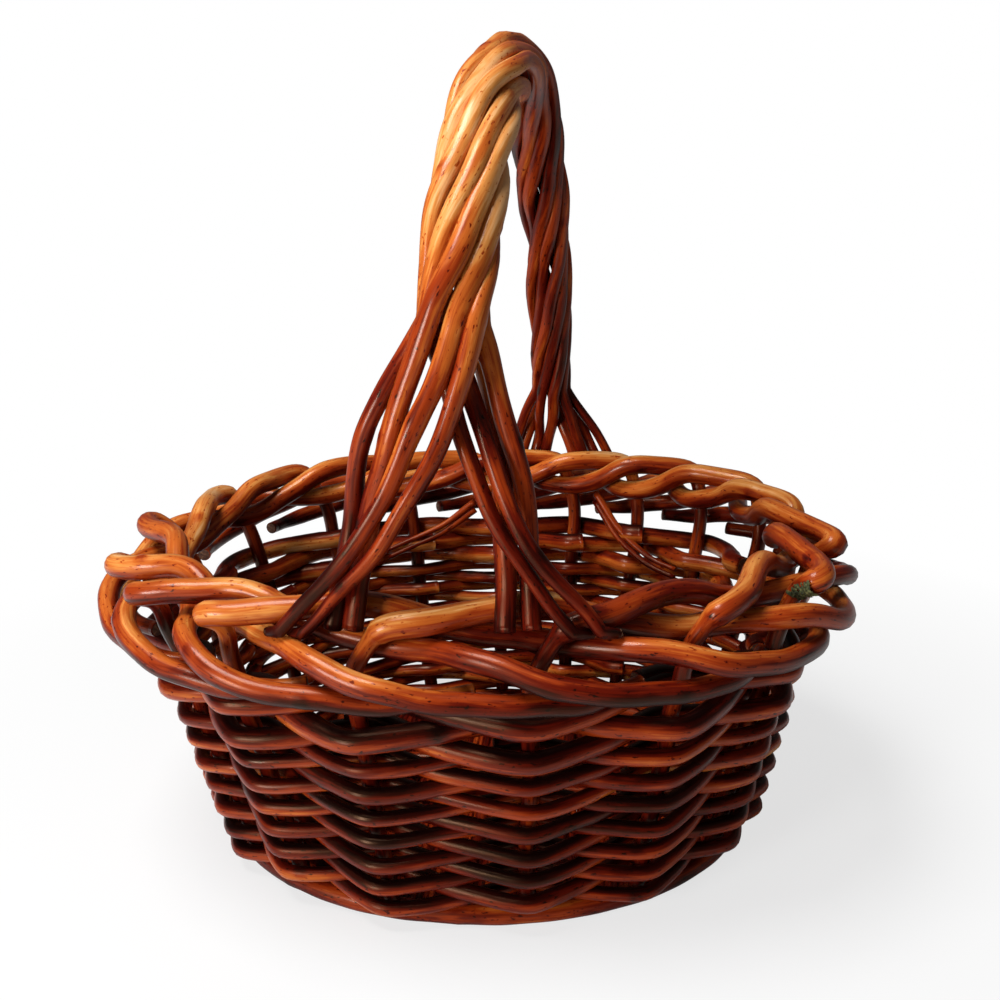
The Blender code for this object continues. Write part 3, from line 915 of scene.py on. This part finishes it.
def make_rows(materials):
    """The rows round the wall. Their rods' ends lie inside it, behind a stake, past each other."""
    random = np.random.default_rng(ROW_SEED)
    for number, (height, diameter) in enumerate(row_levels()):
        thin = number < ROW_COUNT
        out = ROW_OUT if thin else TOP_ROW_OUT
        stakes = splice_stakes(random, number, ROW_RODS if thin else TOP_ROW_RODS)
        willow = Willow()
        for start, end in zip(stakes, stakes[1:]):
            butt = diameter * random.uniform(*BUTT_SHARES)
            tip = diameter * random.uniform(*TIP_SHARES)
            lift = random.uniform(-ROW_LIFT, ROW_LIFT)
            tone = random.uniform(-ROW_TONE_SPREAD, ROW_TONE_SPREAD)
            knots = []
            sizes = []
            tones = []
            steps = np.arange(start - ROW_START_STEPS, end + ROW_END_STEPS, ROW_STEP)
            for step in steps:
                share = (step - steps[0]) / (steps[-1] - steps[0])
                side = -sway(step + number)
                tuck = max(0.0, 1 - (step - steps[0]) / TUCK_IN_STEPS)
                place = out * side - (TUCK_IN_SHARE * diameter * tuck if side < 0 else 0)
                level = height - side * WOVEN_DIP + lift + TUCK_UP_SHARE * diameter * tuck
                turn = stake_turn(step)
                knots.append(wall_point(turn, place, level))
                sizes.append(butt + (tip - butt) * share)
                tones.append(wall_tone(turn) + tone)
            # Each row's rods get painted bounce light underneath and painted shade in the crevices
            # between rows
            willow.rod(knots, sizes, tones, next_seed(random), wobble=ROW_WOBBLE,
                       painted_underside_light=ROW_PAINTED_BOUNCE_LIGHT, painted_crevice_shade=ROW_PAINTED_CREVICE_SHADE)
        if thin:
            label = f"{number + 1:02d}"
            willow.piece(f"woven_row_{label}", materials, "red_willow", f"weaver_{label}")
        else:
            label = f"top_{number + 1 - ROW_COUNT}"
            node = f"top_weaver_{number + 1 - ROW_COUNT}"
            willow.piece(f"woven_row_{label}", materials, "dark_willow", node)


def border_tone(turn, rise):
    """Golden on top and at the front left and back right, darkest at the handle's front foot,
    where a painted shadow of the handle lies over a deeper stain.
    """
    front_left = 0.5 - 0.5 * sin(2 * pi * (turn + FRONT_LEFT_SHIFT))
    back_right = 0.5 + 0.5 * sin(2 * pi * (turn + BACK_RIGHT_SHIFT))
    # Painted shadow of the handle, over a deeper stain, round its front foot
    shadow_and_stain_mask = exp(-(((turn % 1 - HANDLE_FOOT_TURN) / HANDLE_FOOT_REACH) ** 2))
    tone = BORDER_TONE + FRONT_LEFT_TONE * front_left ** 2 + BACK_RIGHT_TONE * back_right ** 2
    return tone + BORDER_RISE_TONE * rise - HANDLE_FOOT_SHADOW_AND_STAIN * shadow_and_stain_mask


def make_stakes(materials):
    """Each stake rises through the wall, bends over at the top and runs round in the border."""
    random = np.random.default_rng(STAKE_SEED)
    low = HOOP_HEIGHT + GAP
    high = BORDER_HEIGHT - TOP_ROW_DIAMETER
    for stake in range(STAKE_COUNT):
        knots = []
        sizes = []
        tones = []
        for number, tone in enumerate(STAKE_TONES):
            share = number / (len(STAKE_TONES) - 1)
            knots.append(wall_point(stake_turn(stake), 0, low + (high - low) * share))
            sizes.append(STAKE_DIAMETER)
            tones.append(tone)
        own_tone = random.uniform(-BORDER_TONE_SPREAD, BORDER_TONE_SPREAD)
        for number, (_, _, rise, _) in enumerate(BORDER_STEP_SHARES):
            point, turn = elbow_point(stake, number)
            share = number / (len(BORDER_STEP_SHARES) - 1)
            taper = BORDER_BUTT_SHARE - BORDER_TAPER_SHARE * share ** 2
            knots.append(point)
            sizes.append(BORDER_ROD_DIAMETER * taper if number else STAKE_DIAMETER)
            tones.append(border_tone(turn, rise) + own_tone)
        for passed, out, rise in TUCK_STEPS:
            knots.append(border_point(stake + BORDER_LEAN_SHARE + passed, out, rise))
            sizes.append(TUCK_DIAMETER)
            tones.append(TUCK_TONE)
        path = smooth_path(knots)
        span = np.linspace(0, len(knots) - 1, len(path))
        sizes = np.interp(span, range(len(knots)), sizes)
        tones = np.interp(span, range(len(knots)), tones)
        label = f"{stake + 1:02d}"
        willow = Willow()
        # The border rods' tops are painted lighter and their undersides darker, as painted light
        # from above
        willow.rod(path, sizes, tones, next_seed(random), wobble=BORDER_WOBBLE,
                   softening=ELBOW_SOFTENING, painted_underside_light=-BORDER_PAINTED_TOP_LIGHT)
        willow.piece(f"border_rod_{label}", materials, "amber_willow", f"stake_{label}")


def bow_middle(share):
    """The middle of the twisted bundle at this share of the bow, from the front to the back."""
    sweep = (1 - cos(pi * share)) / 2
    climb = sin(pi * share) ** HANDLE_BOW_POWER
    x = HANDLE_FRONT_FOOT_X + (HANDLE_BACK_FOOT_X - HANDLE_FRONT_FOOT_X) * sweep
    y = HANDLE_FOOT_SHIFT - BORDER_HALF_WIDTH * cos(pi * share)
    z = BORDER_HEIGHT + (HANDLE_TOP_HEIGHT - BORDER_HEIGHT) * climb
    return np.array((x + HANDLE_TOP_SHIFT * sin(pi * share), y, z))


def bow_share(rise):
    """The share of the bow, counted from its nearer foot, at which it has risen by this share."""
    return asin(rise ** (1 / HANDLE_BOW_POWER)) / pi


def wound_part(random, number):
    """A rod's way round the others over the bow, its diameters, and the ways that it faces."""
    first = bow_share(HANDLE_FRONT_SPREAD_SHARE)
    last = 1 - bow_share(HANDLE_BACK_SPREAD_SHARE)
    middles = np.array([bow_middle(share) for share in np.linspace(first, last, BOW_POINTS)])
    steps = np.linalg.norm(np.diff(middles, axis=0), axis=1)
    lengths = np.concatenate([[0], np.cumsum(steps)])
    slacks = wander(random, lengths, HANDLE_LOOSENESS, HANDLE_LOOSE_LENGTHS)
    swells = 1 + wander(random, lengths, HANDLE_SWELL_SHARE, HANDLE_SWELL_LENGTHS)
    pair_side = 1 if number % 2 == 0 else -1
    path = []
    sizes = []
    facing = []
    for place, (middle, way) in enumerate(zip(middles, np.gradient(middles, axis=0))):
        along = unit(way)
        side = unit(np.cross((1, 0, 0), along))
        across = np.cross(along, side)
        share = lengths[place] / lengths[-1]
        diameter = HANDLE_FRONT_DIAMETER + (HANDLE_BACK_DIAMETER - HANDLE_FRONT_DIAMETER) * share
        reach = (diameter + GAP) / (2 * sin(pi / HANDLE_ROD_COUNT) * cos(HANDLE_LAY_ANGLE))
        angle = radians(HANDLE_FRONT_ANGLE)
        angle += 2 * pi * (number / HANDLE_ROD_COUNT - share * HANDLE_TURNS)
        angle += radians(HANDLE_PAIR_ANGLE) * pair_side
        away = across * cos(angle) + side * sin(angle)
        path.append(middle + (reach + slacks[place] + HANDLE_PAIR_STEP * pair_side) * away)
        sizes.append(diameter * swells[place])
        facing.append(away)
    return path, sizes, facing


def spread(wound_end, way, foot, diameter):
    """A rod's way from the end of the wound part down to its foot."""
    step, out, rise, first_swing, first_swell, next_swing, next_swell = foot
    end = border_point(step, out, rise)
    outward = wall_frame(stake_turn(step), BORDER_HEIGHT)[1] * diameter
    sideways = np.array((diameter, 0, 0))
    first = (2 * wound_end + end) / 3 + sideways * first_swing + outward * first_swell
    later = (wound_end + 2 * end) / 3 + sideways * next_swing + outward * next_swell
    path = smooth_path([wound_end - way * diameter, wound_end, first, later, end])
    return path[SPAN_POINTS:]


def handle_tones(path):
    """Golden high up on the front leg and dark low down on it, partly its stain and partly painted
    light from above, and reddish on the back leg.
    """
    lean = np.clip((path[:, 1] - HANDLE_BACK_START) / HANDLE_BACK_REACH, 0, 1)
    height = np.clip((path[:, 2] - HANDLE_RISE_START) / HANDLE_RISE_REACH, 0, 1)
    # Lighter higher up: partly stain, partly painted light from above
    front = HANDLE_LOW_TONE + HANDLE_RISE_TONE_AND_TOP_LIGHT * height
    return front * (1 - lean) + HANDLE_BACK_TONE * lean


def make_handle(materials):
    """Rods wound round one another over the bow, which spread apart to their feet."""
    random = np.random.default_rng(HANDLE_SEED)
    for number in range(HANDLE_ROD_COUNT):
        tipped = number in HANDLE_TIP_RODS
        wound, sizes, facing = wound_part(random, number)
        down = unit(wound[0] - wound[1])
        front = spread(wound[0], down, HANDLE_FRONT_FOOT_SHARES[number], sizes[0])
        down = unit(wound[-1] - wound[-2])
        back = spread(wound[-1], down, HANDLE_BACK_FOOT_SHARES[number], sizes[-1])
        foot_size = HANDLE_TIP_DIAMETER if tipped else HANDLE_FRONT_DIAMETER
        front_sizes = np.linspace(foot_size, sizes[0], len(front))
        sizes = [*front_sizes, *sizes[1:-1], *[sizes[-1]] * len(back)]
        sizes = np.array(sizes) * HANDLE_GIRTH_SHARE
        path = np.vstack([front[::-1], wound[1:-1], back])
        facing = [*[facing[0]] * len(front), *facing[1:-1], *[facing[-1]] * len(back)]
        if tipped:
            aside = 1 if path[0][0] > HANDLE_FRONT_FOOT_X else -1
            path = np.vstack([[path[0] + np.array(TIP_RUN_ON) * (aside, 1, 1)], path])
            facing = [facing[0], *facing]
            sizes = [TIP_END_DIAMETER, *sizes]
        tones = handle_tones(path) + random.uniform(-HANDLE_TONE_SPREAD, HANDLE_TONE_SPREAD)
        node = f"handle_rod_{number + 1}"
        willow = Willow()
        willow.rod(path, sizes, tones, next_seed(random), wobble=HANDLE_WOBBLE, cut_ends=False,
                   facing=facing, flatness=HANDLE_FLATNESS)
        willow.piece(f"bow_rod_{number + 1}", materials, "red_willow", node)


def make_tails(materials):
    """The thin loose ends that run down inside the back wall, two beside each other twice."""
    for label, route in TAIL_ROUTES.items():
        willow = Willow()
        for number in (0, 1):
            shift = number * TAIL_STEP
            knots = [wall_point(turn, out, height - shift) for turn, out, height in route]
            path = smooth_path(knots)
            butt = TAIL_DIAMETER * TAIL_BUTT_SHARE
            tip = TAIL_DIAMETER * TAIL_TIP_SHARE
            tone = TAIL_TONE - TAIL_TONE_STEP * number
            sizes = np.linspace(butt, tip, len(path))
            willow.rod(path, sizes, tone, TAIL_SEED + number, knots=TAIL_KNOTS)
        willow.piece(f"loose_tail_{label}", materials, "red_willow")


def make_lichen():
    """A small crust of flakes on the front side of one border rod, under its elbow."""
    random = np.random.default_rng(LICHEN_SEED)
    low = elbow_point(LICHEN_STAKE - 1, 0)[0]
    high = elbow_point(LICHEN_STAKE - 1, 1)[0]
    way = unit(high - low)
    front = np.array((0.0, -1.0, 0.0))
    front = unit(front - way * (front @ way))
    points = []
    faces = []
    for _ in range(LICHEN_FLAKES):
        angle = random.normal(0.0, LICHEN_SPREAD_ANGLE)
        away = front * cos(angle) + np.cross(way, front) * sin(angle)
        around = np.cross(way, away)
        seat = low + (high - low) * random.uniform(*LICHEN_PLACES) + away * LICHEN_RADIUS
        size = LICHEN_FLAKE_SIZE * random.uniform(*LICHEN_SIZES)
        lift = random.uniform(*LICHEN_LIFTS)
        first = len(points)
        for corner in range(LICHEN_CORNERS):
            turn = 2 * pi * corner / LICHEN_CORNERS
            reach = size * random.uniform(*LICHEN_CORNER_REACHES)
            points.append(seat + way * reach * cos(turn) + around * reach * sin(turn))
        top = len(points)
        points.append(seat + away * size * lift)
        points.append(seat - away * size * lift)
        for corner in range(LICHEN_CORNERS):
            here = first + corner
            beside = first + (corner + 1) % LICHEN_CORNERS
            faces.append((here, beside, top))
            faces.append((beside, here, top + 1))
    mesh = bpy.data.meshes.new("lichen_patch")
    mesh.from_pydata([tuple(point) for point in points], [], faces)
    mesh.materials.append(lichen_material())
    mesh.update()
    patch = add_object("lichen_patch", mesh)
    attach(patch, "root")


def add_camera():
    """The camera of the main view, whose place was fitted to the basket's outlines."""
    data = bpy.data.cameras.new("camera")
    data.sensor_width = SENSOR_WIDTH
    data.lens = LENS_LENGTH
    data.clip_start = NEAREST_SEEN
    camera = add_object("camera", data)
    right = Vector(CAMERA_RIGHT).normalized()
    back = Vector(CAMERA_BACK).normalized()
    up = back.cross(right).normalized()
    right = up.cross(back).normalized()
    turn = Matrix((right, up, back)).transposed().to_4x4()
    camera.matrix_world = Matrix.Translation(CAMERA_PLACE) @ turn
    bpy.context.scene.camera = camera


def add_world():
    """A faint white light from all sides, which the camera sees as plain white."""
    world = bpy.data.worlds.new("studio")
    graph = Graph(world, "Background")
    graph.fill(graph.shader, {"Color": WHITE, "Strength": WORLD_STRENGTH})
    faint = graph.shader.outputs["Background"]
    white = graph.node("ShaderNodeBackground", {"Color": WHITE, "Strength": 1.0})
    seen = graph.mixed(graph.camera_ray(), faint, white.outputs["Background"])
    graph.fill(graph.tree.nodes["World Output"], {"Surface": seen})
    bpy.context.scene.world = world


def floor_material():
    """A pale floor that fades to white for the camera, away from the basket."""
    material = bpy.data.materials.new("pale_floor")
    graph = Graph(material)
    graph.fill(graph.shader, {"Base Color": FLOOR_COLOUR, "Roughness": FLOOR_ROUGHNESS})
    pale = graph.shader.outputs["BSDF"]
    glow = graph.node("ShaderNodeEmission", {"Strength": 1.0})
    place = graph.node("ShaderNodeTexCoord", {}).outputs["Object"]
    distance = graph.node("ShaderNodeVectorMath", {0: place}, operation="LENGTH").outputs["Value"]
    fade = graph.between(distance, FLOOR_CLEAR_REACH, FLOOR_GLOW_SHARES)
    share = graph.node("ShaderNodeMath", {0: graph.camera_ray(), 1: fade}, operation="MULTIPLY")
    seen = graph.mixed(share.outputs["Value"], pale, glow.outputs["Emission"])
    graph.fill(graph.tree.nodes["Material Output"], {"Surface": seen})
    return material


def add_floor():
    """A wide level floor just under the basket."""
    far = FLOOR_HALF_SIZE
    corners = ((-far, -far), (far, -far), (far, far), (-far, far))
    mesh = bpy.data.meshes.new("floor")
    mesh.from_pydata([(x, y, FLOOR_HEIGHT) for x, y in corners], [], [(0, 1, 2, 3)])
    mesh.materials.append(floor_material())
    floor = add_object("floor", mesh)


def add_lamp(name, place, aim, size, power):
    """A round soft lamp at this place that shines at its aim."""
    data = bpy.data.lights.new(name, "AREA")
    data.shape = "DISK"
    data.size = size
    data.energy = power
    turn = (Vector(aim) - Vector(place)).to_track_quat("-Z", "Y").to_matrix().to_4x4()
    lamp = add_object(name, data)
    lamp.matrix_world = Matrix.Translation(place) @ turn


def main():
    """Sets up the studio, then makes the basket from the bottom up."""
    add_camera()
    add_world()
    add_floor()
    for lamp in LAMPS:
        add_lamp(*lamp)
    bpy.context.scene.view_settings.view_transform = "Standard"
    materials = (bark_material(), cut_material())
    make_hoop(materials)
    make_sticks(materials)
    make_bottom(materials)
    make_rows(materials)
    make_stakes(materials)
    make_handle(materials)
    make_tails(materials)
    make_lichen()


main()
